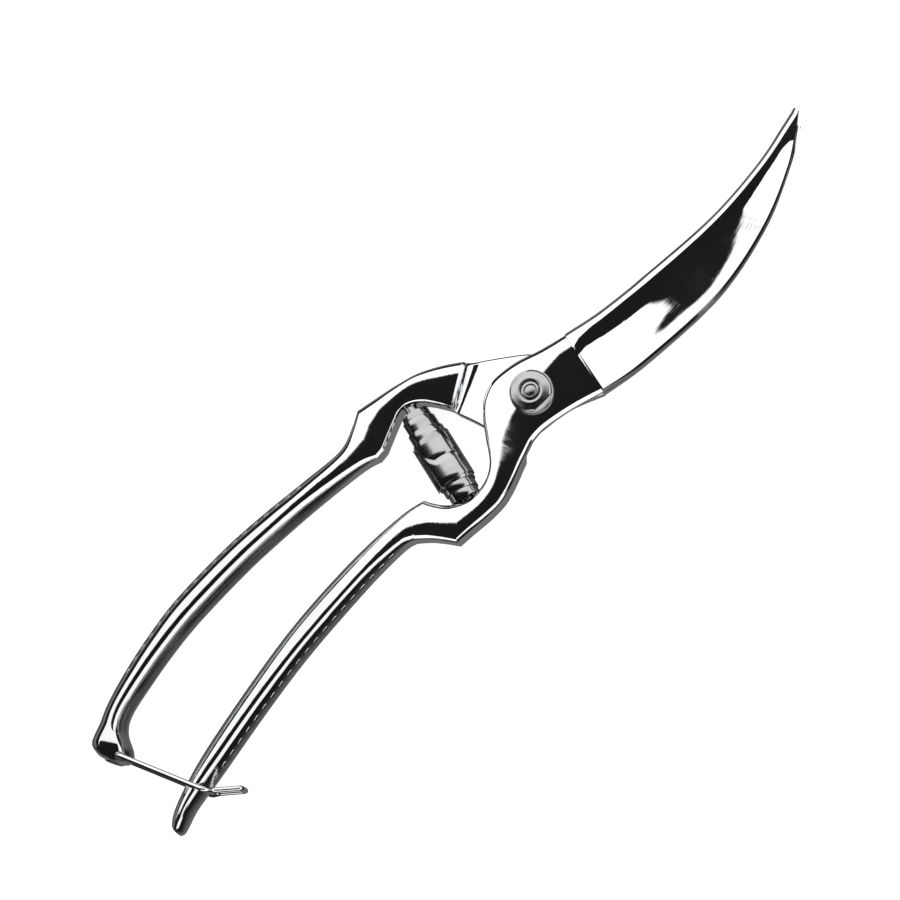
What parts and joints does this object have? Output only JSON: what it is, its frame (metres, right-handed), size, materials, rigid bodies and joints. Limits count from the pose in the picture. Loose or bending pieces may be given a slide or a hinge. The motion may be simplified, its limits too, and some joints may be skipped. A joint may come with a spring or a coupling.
{
  "type": "poultry shears",
  "caption": "Forged poultry shears with curved bypass blades, a volute spring between the handles and a wire catch that holds them closed.",
  "frame": {"origin": "on the pivot axis, in the flat face of the pivot bolt's head, which is the face the shears lie on", "axes": "+X from the pivot to the blade tip, +Y towards the rear lever's handle side, +Z along the pivot axis from the bolt head to the nut"},
  "size_m": [0.2515, 0.0517, 0.0125],
  "materials": {
    "polished_chrome": "mirror polished",
    "satin_steel": "turned and satin",
    "spring_steel": "dark tempered strip, drawn along its length",
    "bright_wire": "bright drawn wire"
  },
  "bodies": {
    "rear_lever": {"rear_lever": "polished_chrome", "pivot_bolt": "satin_steel", "pivot_nut": "satin_steel", "rear_spring_peg": "satin_steel", "volute_spring": "spring_steel"},
    "front_lever": {"front_lever": "polished_chrome", "front_spring_peg": "satin_steel"},
    "wire_catch": {"wire_catch": "bright_wire"}
  },
  "joints": [
    {"name": "blade_pivot", "type": "hinge", "parent": "rear_lever", "child": "front_lever", "pos_m": [0, 0, 0], "axis": [0, 0, 1], "range_deg": [0, 45], "deforming": ["volute_spring"]},
    {"name": "catch_swing", "type": "hinge", "parent": "rear_lever", "child": "wire_catch", "pos_m": [-0.1448, 0.0099, 0.0058], "axis": [0, 0, -1], "range_deg": [0, 250]}
  ]
}
